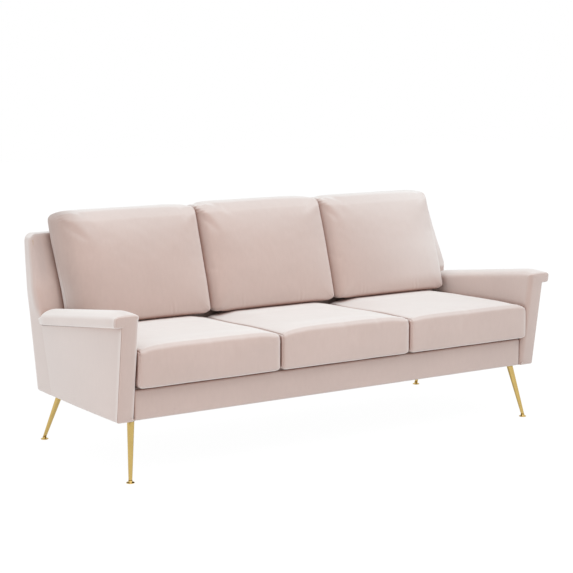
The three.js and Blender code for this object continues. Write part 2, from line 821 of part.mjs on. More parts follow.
// Seat cushions are crowned as far as the back cushions that press on their rear.
function seatCushion(x) {
  const crown = (u, v) => {
    const t = (v + seatDepth / 2) / (restStart + seatCushionFront);
    return seatCrown * level((2 * u) / cushionWidth) * swell(Math.min(t, 1));
  };
  const geometry = cushionSolid(cushionWidth, seatDepth, seatCushionHeight, crown);
  return geometry.translate(x, seatDepth / 2 - seatCushionFront, deckTop + gap);
}

// Back cushions stand on the seat cushions and lean on the back panel.
function backCushion(x) {
  const height = backCushionTop - backCushionBottom;
  const crown = (u, v) => backCrown * level((2 * u) / cushionWidth) * level((2 * v) / height);
  const geometry = cushionSolid(cushionWidth, height, backCushionThickness, crown);
  geometry.rotateX(Math.PI / 2);
  return geometry.translate(x, armDepth - gap, backCushionBottom + height / 2);
}

["left", "centre", "right"].forEach((seatName, i) => {
  const x = (i - (seats - 1) / 2) * seatPitch;
  add("seat_cushion_" + seatName, solid(seatCushion(x)), velvet);
  add("back_cushion_" + seatName, rake(solid(backCushion(x))), velvet);
});

// The origin lies on the floor, under the middle of the whole sofa.
const bounds = new THREE.Box3().setFromObject(sofa);
const centre = bounds.getCenter(new THREE.Vector3());
sofa.position.set(-centre.x, -centre.y, -bounds.min.z);

export default sofa;
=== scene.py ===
import json
import math

import bmesh
import bpy
from mathutils import Matrix, Vector, kdtree, noise


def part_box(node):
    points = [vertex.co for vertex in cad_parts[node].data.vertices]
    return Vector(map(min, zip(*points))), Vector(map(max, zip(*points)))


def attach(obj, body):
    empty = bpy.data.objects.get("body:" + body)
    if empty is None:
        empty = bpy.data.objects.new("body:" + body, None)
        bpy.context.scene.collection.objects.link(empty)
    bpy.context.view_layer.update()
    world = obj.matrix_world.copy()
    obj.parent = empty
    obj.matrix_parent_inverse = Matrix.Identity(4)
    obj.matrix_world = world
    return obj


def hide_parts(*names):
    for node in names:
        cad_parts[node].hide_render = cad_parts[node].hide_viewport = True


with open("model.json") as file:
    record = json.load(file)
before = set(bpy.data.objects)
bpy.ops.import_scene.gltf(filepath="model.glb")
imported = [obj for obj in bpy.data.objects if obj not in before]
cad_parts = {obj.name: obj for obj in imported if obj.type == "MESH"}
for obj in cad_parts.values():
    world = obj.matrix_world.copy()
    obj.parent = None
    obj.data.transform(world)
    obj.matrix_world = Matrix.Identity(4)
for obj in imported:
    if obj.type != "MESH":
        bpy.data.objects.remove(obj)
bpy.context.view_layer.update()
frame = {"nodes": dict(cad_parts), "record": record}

scene = bpy.context.scene

# Metres, in the sofa's own frame: X to the right as seen from the front, Y to the back, Z up.
MM = 0.001
front_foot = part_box("foot_front_left")
FOOT_Y = (front_foot[0][1] + front_foot[1][1]) / 2  # the front feet, and the arms' front edge at its foot
UNDERSIDE = 217 * MM
ARM_INNER = 880 * MM  # half the width between the arms
ARM_OUTER = 946 * MM  # outer face of an arm's wall at the front
ARM_REAR = 963.5 * MM  # outer face of the wall where it meets the back panel
LIP_OUTER = 975 * MM  # outer face of the armrest
LIP = 39 * MM  # height of that face
ARM_HEIGHT = 601 * MM  # floor to the armrest's front top edge
ARM_LEAN = 56 * MM  # the front edge leans forward by this
ARM_FALL = 76 * MM  # the armrest falls to the rear by this
ARM_DEPTH = 512 * MM  # at the underside
BACK_THICK = 66 * MM  # at the top of the back panel
BACK_FOOT_THICK = 130 * MM
BACK_TOP = 798 * MM
BACK_LEAN = 180 * MM  # the panel's front leans to the rear by this
BACK_HALF_LOW = 968 * MM  # half its width, low down and at its top
BACK_HALF_HIGH = 951 * MM
BACK_TAPER_START = 590 * MM  # the back panel draws in above this height
BACK_TOP_SET = 12 * MM  # top of the back panel's front, behind the line of its lower part
ARM_JOIN_LOW = 500 * MM  # the arms meet the back panel below this height
ARM_JOIN_HIGH = 545 * MM
RAIL_FRONT = 4 * MM  # the front rail's cloth, behind the front feet
RAIL_TOP = 326.3 * MM
DECK_TOP = 334.6 * MM  # carries the seat cushions
SEAT_TOP = 472.9 * MM  # carries the back cushions
SEAT_FRONT = -37 * MM  # the seat cushions' front, ahead of the front feet
CUSHION_TOP = 890 * MM  # of the back cushions
PITCH = 2 * ARM_INNER / 3  # from the middle of one cushion to the next

BACK_SLOPE = BACK_LEAN / (BACK_TOP - UNDERSIDE)
FRONT_SLOPE = -ARM_LEAN / (ARM_HEIGHT - UNDERSIDE)
ARM_SLOPE = ARM_FALL / (ARM_DEPTH + ARM_LEAN)


def back_plane(z, inset=0.0):
    """Y of the back panel's front at a height."""
    return FOOT_Y + ARM_DEPTH - inset + BACK_SLOPE * (z - UNDERSIDE)


REST_Y = back_plane(SEAT_TOP, 108 * MM)  # front of the back cushions, at their foot


# Camera

CAMERA_PLACE = (-3.2255, -4.6186 + FOOT_Y, 1.498)
CAMERA_PITCH = 8.89  # degrees down from level
CAMERA_YAW = 32.75  # degrees to the right of straight to the back
CAMERA_LENS = 95.65


def aim_camera():
    data = bpy.data.cameras.new("camera")
    data.sensor_width = 36
    data.lens = CAMERA_LENS
    data.clip_end = 60
    camera = bpy.data.objects.new("camera", data)
    camera.location = CAMERA_PLACE
    camera.rotation_euler = (math.radians(90 - CAMERA_PITCH), 0, math.radians(-CAMERA_YAW))
    scene.collection.objects.link(camera)
    scene.camera = camera


aim_camera()


# Materials

WHITE = (1, 1, 1, 1)


def set_inputs(tree, made, values):
    """Links each input to a socket, or sets it to a plain value."""
    for key, value in values.items():
        if isinstance(value, bpy.types.NodeSocket):
            tree.links.new(value, made.inputs[key])
        else:
            made.inputs[key].default_value = value


def node(tree, kind, values=None, **settings):
    made = tree.nodes.new(kind)
    for key, value in settings.items():
        setattr(made, key, value)
    set_inputs(tree, made, values or {})
    return made


def new_material(name):
    material = bpy.data.materials.new(name)
    material.use_nodes = True
    tree = material.node_tree
    return material, tree, tree.nodes["Principled BSDF"]


def own_coordinates(tree, stretch=(1, 1, 1)):
    """The piece's own coordinates, scaled along each axis."""
    place = node(tree, "ShaderNodeTexCoord").outputs["Object"]
    return node(tree, "ShaderNodeMapping", {"Vector": place, "Scale": stretch}).outputs["Vector"]


def object_noise(tree, scale, detail=3.0, rough=0.5, stretch=(1, 1, 1)):
    """Noise over the piece's own coordinates."""
    values = {"Vector": own_coordinates(tree, stretch), "Scale": scale, "Detail": detail, "Roughness": rough}
    return node(tree, "ShaderNodeTexNoise", values).outputs["Fac"]


def ramp(tree, source, stops):
    """A colour ramp. Each stop is a position and a colour."""
    made = node(tree, "ShaderNodeValToRGB", {"Fac": source})
    elements = made.color_ramp.elements
    elements[0].position, elements[0].color = stops[0][0], (*stops[0][1], 1)
    elements[1].position, elements[1].color = stops[-1][0], (*stops[-1][1], 1)
    for position, color in stops[1:-1]:
        elements.new(position).color = (*color, 1)
    return made.outputs["Color"]


def grey_ramp(tree, source, stops):
    """A ramp of greys. Each stop is a position and a value."""
    return ramp(tree, source, [(at, (value,) * 3) for at, value in stops])


def mix_colors(tree, factor, first, second, blend="MIX"):
    made = node(tree, "ShaderNodeMix", data_type="RGBA", blend_type=blend)
    wanted = {("Factor", "VALUE"): factor, ("A", "RGBA"): first, ("B", "RGBA"): second}
    kinds = [(s.name, s.type) for s in made.inputs]
    set_inputs(tree, made, {kinds.index(kind): value for kind, value in wanted.items()})
    return [s for s in made.outputs if s.type == "RGBA"][0]


def multiplied(tree, first, second):
    return mix_colors(tree, 1.0, first, second, "MULTIPLY")


def combined(tree, first, second, operation="MULTIPLY"):
    """One operation on two values, each a socket or a number."""
    return node(tree, "ShaderNodeMath", {0: first, 1: second}, operation=operation).outputs[0]


def bump(tree, heights):
    """Chained bumps: each entry is a height, its strength and its depth."""
    chain = {}
    for height, strength, distance in heights:
        values = {"Height": height, "Strength": strength, "Distance": distance, **chain}
        chain = {"Normal": node(tree, "ShaderNodeBump", values).outputs["Normal"]}
    return chain["Normal"]


def scaled(color, factor):
    return tuple(min(1.0, c * factor) for c in color)


def painted_pile_light(tree):
    """Light and shade painted over the back by place: painted sheen that it adds, the share of painted sheen
    that it keeps, and a painted shade.
    """
    place = node(tree, "ShaderNodeTexCoord").outputs["Object"]
    split = node(tree, "ShaderNodeSeparateXYZ", {0: place})
    across, height = split.outputs["X"], split.outputs["Z"]
    behind = node(tree, "ShaderNodeVectorMath", {0: place, 1: (0, 1, -BACK_SLOPE)}, operation="DOT_PRODUCT")
    rearward = behind.outputs["Value"]

    def field(source, start, end, low=0.0, high=1.0):
        values = {"Value": source, "From Min": start, "From Max": end, "To Min": low, "To Max": high}
        return node(tree, "ShaderNodeMapRange", values, interpolation_type="SMOOTHSTEP").outputs["Result"]

    def joined(first, second, operation="MULTIPLY"):
        return combined(tree, first, second, operation)

    # Masks, by distance from the plane of the panel's front and by height
    panel = back_plane(0)
    front = field(rearward, panel + 0.014, panel + 0.03, 1.0, 0.0)
    upper = joined(front, field(height, 0.58, 0.70))
    near = joined(front, field(rearward, panel - 0.20, panel - 0.165))
    cushions = joined(near, field(height, 0.49, 0.56))
    panel_front = joined(front, field(rearward, panel - 0.02, panel - 0.006))

    # Painted light: paler toward the right, on the cushions, the panel beside them and, a little, the upper
    # part
    right_end = (0.866, 0.874)
    right_cushions = joined(field(across, 0.35, 0.9, 0.0, 0.34), field(height, 0.66, 0.80, 1.0, 0.5))
    right_cushions = joined(joined(cushions, right_cushions), field(across, *right_end, 1.0, 0.0))
    right_strip = joined(panel_front, field(height, 0.54, 0.555))
    right_strip = joined(right_strip, field(across, *right_end, 0.0, 0.45))
    right_upper = joined(upper, field(across, -0.1, 0.6, 0.0, 0.05))
    painted_right_light = joined(joined(right_cushions, right_strip, "ADD"), right_upper, "ADD")

    # Painted shade at the left: less of the painted sheen, a cool darker edge and a darker shade. These ramps
    # start 1 m left of the middle.
    along = joined(across, 1.0, "ADD")
    kept = grey_ramp(tree, along, [(0.05, 1.0), (0.065, 0.3), (0.14, 0.35), (0.21, 1.0)])
    kept = mix_colors(tree, upper, WHITE, kept)
    cool_shade_tone = (0.90, 0.935, 0.955)
    painted_left_edge_shade = ramp(tree, along, [(0.03, (1, 1, 1)), (0.06, cool_shade_tone), (0.085, cool_shade_tone), (0.105, (1, 1, 1))])
    painted_left_edge_shade = mix_colors(tree, upper, WHITE, painted_left_edge_shade)
    # Painted shade over the left part of the left back cushion, low and high.
    stops = [(0.09, 1.0), (0.112, 0.86), (0.14, 0.83), (0.165, 0.91), (0.21, 0.96), (0.27, 1.0)]
    painted_valley_shade = grey_ramp(tree, along, stops)
    left_cushion = joined(cushions, field(across, -0.886, -0.876))
    painted_valley_shade = mix_colors(tree, joined(joined(near, upper), left_cushion, "MAXIMUM"), WHITE, painted_valley_shade)
    return painted_right_light, kept, multiplied(tree, painted_left_edge_shade, painted_valley_shade)


def painted_pile_sheen(tree, normal, openness):
    """A pale sheen painted into the colour where the pile is seen from the side, a painted top light on faces
    that turn up, and less of both in gaps as painted shade.
    """
    layer = node(tree, "ShaderNodeLayerWeight", {"Blend": 0.5})
    stops = [(0.03, 0.0), (0.2, 0.12), (0.5, 0.33), (0.62, 0.53), (0.84, 0.74), (0.95, 0.9)]
    grazing = grey_ramp(tree, layer.outputs["Facing"], stops)
    height = node(tree, "ShaderNodeSeparateXYZ", {0: normal}).outputs["Z"]
    # Painted light from above: paler where a face turns up.
    painted_top_light = grey_ramp(tree, height, [(0.3, 0.0), (0.6, 0.22), (0.9, 0.12)])
    sheen = mix_colors(tree, 1.0, grazing, painted_top_light, "ADD")
    return multiplied(tree, sheen, grey_ramp(tree, openness, [(0.15, 0.1), (0.8, 1)]))


def worn_edges_and_painted_shade(tree, tone, pointiness, openness):
    """A tone made paler on edges, as worn pile and as a painted highlight, and darker and redder in folds and
    gaps, as painted shade.
    """
    # Paler edges: partly worn pile, partly a painted edge highlight.
    edges = grey_ramp(tree, pointiness, [(0.535, 0), (0.61, 0.5)])
    tone = mix_colors(tree, edges, tone, (0.95, 0.88, 0.85, 1))
    # Painted shade: darker in creases, and in gaps where little is open round a point.
    folds = ramp(tree, pointiness, [(0.41, (0.74, 0.64, 0.61)), (0.487, (1, 1, 1))])
    painted_gap_shade = ramp(tree, openness, [
        (0.08, (0.50, 0.31, 0.26)),
        (0.3, (0.72, 0.55, 0.50)),
        (0.52, (0.94, 0.88, 0.86)),
        (0.8, (1, 1, 1)),
    ])
    return multiplied(tree, multiplied(tree, tone, folds), painted_gap_shade)


def velvet_material(name, color, painted_sheen_tone):
    """Short-pile velvet: brushed tones, a fine nap, and a pale sheen painted into the colour where the pile
    is seen from the side, with painted light and shade.
    """
    material, tree, shader = new_material(name)
    brushed = object_noise(tree, 3.2, 2.0, 0.45, (1.0, 1.0, 1.6))
    nap = object_noise(tree, 85.0, 4.0, 0.6, (1.0, 1.0, 0.35))
    pile = object_noise(tree, 1300.0, 2.0, 0.6)
    weave = object_noise(tree, 420.0, 2.0, 0.5, (1.0, 1.0, 0.5))
    broad = ramp(tree, brushed, [(0.3, scaled(color, 0.965)), (0.7, scaled(color, 1.03))])
    fine = ramp(tree, nap, [(0.25, (0.955, 0.95, 0.948)), (0.75, (1.0, 1.0, 1.0))])
    geometry = node(tree, "ShaderNodeNewGeometry").outputs
    # How open each point is: it takes down the painted sheen and deepens the painted shade in gaps.
    openness = node(tree, "ShaderNodeAmbientOcclusion", {"Distance": 0.03}, samples=6).outputs["AO"]

    # Painted light and shade in the base colour: a pale painted sheen mixed in, paler toward the right,
    # darker at the left.
    painted_right_light, kept, shade = painted_pile_light(tree)
    sheen = multiplied(tree, painted_pile_sheen(tree, geometry["Normal"], openness), kept)
    sheen = mix_colors(tree, 1.0, sheen, painted_right_light, "ADD")
    tone = mix_colors(tree, sheen, multiplied(tree, broad, fine), (*painted_sheen_tone, 1))
    tone = multiplied(tree, tone, shade)
    set_inputs(tree, shader, {
        "Base Color": worn_edges_and_painted_shade(tree, tone, geometry["Pointiness"], openness),
        "Roughness": grey_ramp(tree, nap, [(0.2, 0.82), (0.8, 0.95)]),
        "Normal": bump(tree, [(brushed, 0.12, 0.004), (weave, 0.10, 0.0006), (pile, 0.16, 0.0004)]),
        "Specular IOR Level": 0.1,
        "Sheen Weight": 0.25,
        "Sheen Roughness": 0.4,
        "Sheen Tint": (1.0, 0.98, 0.96, 1),
    })
    return material


def metal_material(name, color, roughness):
    """Plated metal with faint polishing lines along its length."""
    material, tree, shader = new_material(name)
    lines = object_noise(tree, 900.0, 2.0, 0.6, (1.0, 1.0, 0.08))
    haze = object_noise(tree, 22.0, 3.0, 0.55)
    set_inputs(tree, shader, {
        "Base Color": ramp(tree, haze, [(0.3, scaled(color, 0.94)), (0.7, scaled(color, 1.04))]),
        "Roughness": grey_ramp(tree, lines, [(0.3, roughness - 0.05), (0.7, roughness + 0.07)]),
        "Normal": bump(tree, [(lines, 0.05, 0.0002)]),
        "Metallic": 1.0,
    })
    return material


def wood_material(name, light, dark, rings=34.0, stretch=(0.25, 1.0, 1.0)):
    """Sawn timber: drawn-out rings, pores and a dry finish."""
    material, tree, shader = new_material(name)
    wave = node(tree, "ShaderNodeTexWave", {
        "Vector": own_coordinates(tree, stretch),
        "Scale": rings,
        "Distortion": 7.0,
        "Detail": 3.0,
        "Detail Scale": 1.2,
    }, bands_direction="Z")
    pores = object_noise(tree, 260.0, 3.0, 0.6, stretch)
    tone = ramp(tree, wave.outputs["Fac"], [(0.2, dark), (0.75, light)])
    speck = ramp(tree, pores, [(0.3, (0.86, 0.82, 0.78)), (0.6, (1, 1, 1))])
    set_inputs(tree, shader, {
        "Base Color": multiplied(tree, tone, speck),
        "Roughness": 0.72,
        "Normal": bump(tree, [(pores, 0.25, 0.0006)]),
    })
    return material


def woven_material(name, light, dark, threads, roughness=0.9):
    """Plain weave: two crossed sets of threads."""
    material, tree, shader = new_material(name)
    values = {"Vector": own_coordinates(tree), "Scale": threads, "Distortion": 0.6, "Detail": 1.0}
    crossed = [node(tree, "ShaderNodeTexWave", values, bands_direction=way) for way in ("X", "Y")]
    height = combined(tree, *[wave.outputs["Fac"] for wave in crossed])
    tone = ramp(tree, height, [(0.05, dark), (0.6, light)])
    patchy = grey_ramp(tree, object_noise(tree, 9.0), [(0.3, 0.9), (0.7, 1)])
    set_inputs(tree, shader, {
        "Base Color": multiplied(tree, tone, patchy),
        "Roughness": roughness,
        "Normal": bump(tree, [(height, 0.5, 0.0008)]),
    })
    return material


BLUSH = (0.58, 0.445, 0.40)
# The pale tone that the painted sheen mixes into the velvet's colour.
BLUSH_SHEEN_TONE = (0.96, 0.94, 0.925)

SLOT_MATERIALS = {
    "velvet": velvet_material("velvet", BLUSH, BLUSH_SHEEN_TONE),
    "satin_gold": metal_material("satin_gold", (0.74, 0.53, 0.19), 0.22),
    "steel": metal_material("zinc", (0.55, 0.56, 0.58), 0.34),
    "spring_steel": metal_material("spring_wire", (0.38, 0.39, 0.41), 0.3),
    "timber": wood_material("timber", (0.58, 0.40, 0.22), (0.42, 0.26, 0.13)),
    "plywood": wood_material("plywood", (0.66, 0.50, 0.31), (0.54, 0.38, 0.21), 22.0, (1.0, 0.3, 0.5)),
    "webbing": woven_material("jute", (0.50, 0.38, 0.20), (0.24, 0.17, 0.08), 260.0),
    "deck_cloth": woven_material("lining", (0.30, 0.22, 0.19), (0.17, 0.12, 0.10), 420.0),
    "dust_cloth": woven_material("dust_cloth", (0.030, 0.030, 0.031), (0.008, 0.008, 0.008), 320.0, 0.95),
}
for part in frame["record"]["subparts"]:
    carried = frame["nodes"][part["node"]]
    carried.data.materials.clear()
    carried.data.materials.append(SLOT_MATERIALS[part["material_slot"]])


# Pieces

def piece(name, verts, faces, slot, body, nodes):
    """A smooth object on a body that stands for CAD nodes."""
    mesh = bpy.data.meshes.new(name)
    mesh.from_pydata([tuple(v) for v in verts], [], faces)
    mesh.validate()
    mesh.polygons.foreach_set("use_smooth", [True] * len(mesh.polygons))
    mesh.materials.append(SLOT_MATERIALS[slot])
    made = bpy.data.objects.new(name, mesh)
    scene.collection.objects.link(made)
    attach(made, body)
    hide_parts(*nodes)
    return made


def turn_out(made, crisp_angle=None):
    """Turns all faces outward, and keeps edges crisp where faces meet at more than an angle in degrees."""
    bm = bmesh.new()
    bm.from_mesh(made.data)
    bmesh.ops.recalc_face_normals(bm, faces=bm.faces)
    if crisp_angle:
        for edge in bm.edges:
            if edge.calc_face_angle(0) > math.radians(crisp_angle):
                edge.smooth = False
    bm.to_mesh(made.data)
    bm.free()


def smooth_step(low, high, value):
    t = min(1.0, max(0.0, (value - low) / (high - low)))
    return t * t * (3 - 2 * t)


def bell(value, middle, width):
    return math.exp(-(((value - middle) / width) ** 2))


def box_lines(length, step, edge=0.0, rim=0):
    """Grid positions along one side of a box, denser where its edges are rounded."""
    half = length / 2
    inner = half - edge
    count = max(1, round(2 * inner / step))
    lines = [-inner + 2 * inner * i / count for i in range(count + 1)]
    if rim:
        out = [inner + edge * math.tan(math.pi / 4 * i / rim) for i in range(1, rim + 1)]
        lines = [-v for v in reversed(out)] + lines + out
    return lines


def box_grid(lines):
    """Vertices and quads of a closed box, from its grid positions along X, Y and Z.

    With them come the vertices' numbers by grid place, and the last place on each axis.
    """
    index = {}
    verts = []
    faces = []
    ends = [len(axis) - 1 for axis in lines]

    def vert(key):
        if key not in index:
            index[key] = len(verts)
            verts.append(Vector([lines[a][key[a]] for a in range(3)]))
        return index[key]

    for axis in range(3):
        a, b = (axis + 1) % 3, (axis + 2) % 3
        for end in (0, ends[axis]):
            for u in range(ends[a]):
                for v in range(ends[b]):
                    quad = []
                    for du, dv in ((0, 0), (1, 0), (1, 1), (0, 1)):
                        key = [0, 0, 0]
                        key[axis], key[a], key[b] = end, u + du, v + dv
                        quad.append(vert(tuple(key)))
                    if end == 0:
                        quad.reverse()
                    faces.append(quad)
    return verts, faces, index, ends


def round_edges(point, half, edge):
    """Moves a point of a box's surface onto the box with rounded edges."""
    core = Vector([max(-h + edge, min(h - edge, c)) for c, h in zip(point, half)])
    out = point - core
    if out.length > 1e-9:
        return core + out.normalized() * edge
    return point.copy()


def round_corners(point, half, axes, radii):
    """Rounds the corners in one plane. radii: low low, high low, high high, low high, or a pair for each."""
    a, b = axes
    order = {(False, False): 0, (True, False): 1, (True, True): 2, (False, True): 3}
    radius = radii[order[(point[a] > 0, point[b] > 0)]]
    reach_a, reach_b = radius if isinstance(radius, tuple) else (radius, radius)
    if reach_a <= 0:
        return point
    u = (abs(point[a]) - (half[a] - reach_a)) / reach_a
    v = (abs(point[b]) - (half[b] - reach_b)) / reach_b
    if u <= 0 or v <= 0:
        return point
    u, v = min(u, 1.0), min(v, 1.0)
    moved = point.copy()
    moved[a] = math.copysign(half[a] - reach_a + reach_a * u * math.sqrt(1 - v * v / 2), point[a])
    moved[b] = math.copysign(half[b] - reach_b + reach_b * v * math.sqrt(1 - u * u / 2), point[b])
    return moved


def press_seams(verts, normals, seam_points, depth, width, swell=0.3):
    """Draws the cloth in along seams, with a slight swelling on both sides. A negative depth raises it."""
    tree = kdtree.KDTree(len(seam_points))
    for i, point in enumerate(seam_points):
        tree.insert(point, i)
    tree.balance()
    moved = []
    for vert, normal in zip(verts, normals):
        t = tree.find(vert)[2] / width
        moved.append(vert + normal * depth * (swell * bell(t, 2.4, 1) - bell(t, 0, 1)))
    return moved


def dense(points, spacing):
    """Points at most a spacing apart along a polyline."""
    result = []
    for start, end in zip(points, points[1:]):
        count = max(1, math.ceil((end - start).length / spacing))
        result += [start.lerp(end, i / count) for i in range(count)]
    return result + [points[-1]]


def vertex_normals(verts, faces):
    mesh = bpy.data.meshes.new("scratch")
    mesh.from_pydata([tuple(v) for v in verts], [], faces)
    normals = [v.normal.copy() for v in mesh.vertices]
    bpy.data.meshes.remove(mesh)
    return normals


# Loose cushions

CLEAR = 0.3 * MM  # left below and above a seat cushion
BESIDE = 0.8 * MM  # half of what is left between two cushions
CUSHION_STEP = 10 * MM
SWELL_FRAMES = 20
SEAM_HOLD = 0.45  # how firmly a seam keeps its place while the cushion swells
SEAM_BEVEL = 4 * MM

# Seams of the cushions: depth, width, and the swelling beside them
RIGHT_SEAM = (-1.8 * MM, 3.0 * MM, 0)
LEFT_SEAM = (1.6 * MM, 1.7 * MM)
SOFT_SEAM = (5.5 * MM, 15 * MM, 0)


def inflate(made, holds, share, cap):
    """Swells a cushion with cloth simulation, and keeps a share of each point's move, within a cap."""
    before = [v.co.copy() for v in made.data.vertices]
    group = made.vertex_groups.new(name="hold")
    for index, weight in enumerate(holds):
        if weight > 0:
            group.add([index], weight, "REPLACE")
    modifier = made.modifiers.new("Cloth", "CLOTH")
    settings = modifier.settings
    settings.quality = 5
    settings.mass = 0.3
    settings.tension_stiffness = 15
    settings.compression_stiffness = 15
    settings.shear_stiffness = 6
    settings.bending_stiffness = 4.0
    settings.use_pressure = True
    settings.uniform_pressure_force = 4.0
    settings.vertex_group_mass = "hold"
    settings.effector_weights.gravity = 0
    modifier.collision_settings.use_collision = False
    modifier.point_cache.frame_start = 1
    modifier.point_cache.frame_end = SWELL_FRAMES
    for step in range(1, SWELL_FRAMES + 1):
        scene.frame_set(step)
    evaluated = made.evaluated_get(bpy.context.evaluated_depsgraph_get())
    after = [v.co.copy() for v in evaluated.data.vertices]
    made.modifiers.remove(modifier)
    made.vertex_groups.remove(group)
    scene.frame_set(1)
    for vert, old, new in zip(made.data.vertices, before, after):
        move = (new - old) * share
        if move.length > cap:
            move *= cap / move.length
        vert.co = old + move


def refine(made, seam_edges):
    """Doubles the seams' edge loops and subdivides the cushion once."""
    mesh = made.data
    bm = bmesh.new()
    bm.from_mesh(mesh)
    bm.verts.ensure_lookup_table()
    edges = [bm.edges.get((bm.verts[a], bm.verts[b])) for a, b in seam_edges]
    edges = [edge for edge in edges if edge is not None]
    bmesh.ops.bevel(
        bm, geom=edges, offset=SEAM_BEVEL, segments=4, profile=0.6, affect="EDGES", clamp_overlap=True,
    )
    bm.to_mesh(mesh)
    bm.free()
    modifier = made.modifiers.new("Subdivision", "SUBSURF")
    modifier.levels = 1
    modifier.render_levels = 1
    evaluated = made.evaluated_get(bpy.context.evaluated_depsgraph_get())
    fine = bpy.data.meshes.new_from_object(evaluated)
    made.modifiers.remove(modifier)
    made.data = fine
    bpy.data.meshes.remove(mesh)
    fine.polygons.foreach_set("use_smooth", [True] * len(fine.polygons))


def side_seams(index, ends):
    """Edges round the two side panels of a box grid."""
    edges = []
    for i in (0, ends[0]):
        loop = [(i, j, 0) for j in range(ends[1])] + [(i, ends[1], k) for k in range(ends[2])]
        loop += [(i, j, ends[2]) for j in range(ends[1], 0, -1)] + [(i, 0, k) for k in range(ends[2], 0, -1)]
        keys = [index[key] for key in loop]
        edges += list(zip(keys, keys[1:] + keys[:1]))
    return edges


def cushion(kind, seat, place, size, radii, crown, holds, limit, folds, seed, swelling, soft=None):
    """A boxed cushion: one band of cloth over front, top and bottom, and a panel sewn in at each side.

    crown shapes a point of the box, holds says how firmly it keeps its place while the cushion swells,
    and limit keeps it in its room. With soft the left seam is a soft edge, moved by that much.
    """
    half = [s / 2 for s in size]
    verts, faces, index, ends = box_grid([box_lines(s, CUSHION_STEP) for s in size])
    shaped = []
    for vert in verts:
        point = round_edges(vert, half, radii["edge"])
        point = round_corners(point, half, (0, 2), radii["front"])
        point = round_corners(point, half, (1, 2), radii["side"])
        point = round_corners(point, half, (0, 1), radii["plan"])
        shaped.append(place @ crown(point, half))
    name = kind + "_" + seat
    made = piece(name, shaped, faces, "velvet", "loose_" + name, (kind + "_cushion_" + seat,))
    seam_edges = side_seams(index, ends)
    sewn = {i for edge in seam_edges for i in edge}
    weights = [max(holds(v, half), SEAM_HOLD if i in sewn else 0.0) for i, v in enumerate(verts)]
    inflate(made, weights, *swelling)
    corners = made.data.vertices
    for vert in corners:
        vert.co = limit(vert.co)
    middle_x = sum(v.co.x for v in corners) / len(corners)
    sides = ([], [])
    crisp_edges = []
    for a, b in seam_edges:
        right = corners[a].co.x > middle_x
        sides[right].extend(corners[a].co.lerp(corners[b].co, t / 8) for t in range(8))
        if right or soft is None:
            crisp_edges.append((a, b))
    refine(made, crisp_edges)

    mesh = made.data
    normals = [v.normal.copy() for v in mesh.vertices]
    points = press_seams([v.co.copy() for v in mesh.vertices], normals, sides[1], *RIGHT_SEAM)
    if soft is None:
        points = press_seams(points, normals, sides[0], *LEFT_SEAM)
    else:
        points = press_seams(points, normals, [p + soft for p in sides[0]], *SOFT_SEAM)

    # Broad and fine unevenness, and the folds
    for vert, point, normal in zip(mesh.vertices, points, normals):
        wave = 0.9 * MM * noise.noise(point * 9 + Vector((seed, 0, 0)))
        wave += 0.35 * MM * noise.noise(point * 31 + Vector((0, seed, 0)))
        wave += sum(fold(point) for fold in folds)
        vert.co = limit(point + normal * wave)
    mesh.update()


def gather(centre, along, across, length, spread, pitch, height):
    """Short folds that leave a seam at a point: they run along one way and repeat across it."""
    along = along.normalized()
    across = across.normalized()

    def fold(point):
        offset = point - centre
        run = offset.dot(along)
        side = offset.dot(across)
        if run < -0.2 * length or run > length or abs(side) > spread or offset.length > length + spread:
            return 0.0
        fade = smooth_step(-0.2 * length, 0.1 * length, run) * (1 - smooth_step(0.2 * length, length, run))
        fade *= 1 - smooth_step(0.4 * spread, spread, abs(side))
        wobble = 0.25 * pitch * noise.noise(point * 40)
        return height * fade * math.sin(2 * math.pi * (side + wobble) / pitch)

    return fold


SEATS = ("left", "centre", "right")
SEAT_SPARE = (4.5 * MM, 8 * MM, 3 * MM)  # a seat cushion is cut smaller than its room by this
SEAT_RISE = 9 * MM  # crown of a seat cushion behind its front edge
FRONT_RISES = (17 * MM, 19 * MM, 9 * MM)  # and at the front edge, for each seat
SEAT_DROP = 15 * MM  # its top falls off at both sides, toward the rear
SEAT_SWELL = 22 * MM  # room for the crown
REST_SWELL = 18 * MM  # the same just ahead of the back cushions, and none under them
BULGE = 11 * MM  # the right cushion's front corner swells over the arm's rounded edge
BULGE_START, BULGE_END = 5 * MM, 26 * MM  # behind the front, it fades out between these


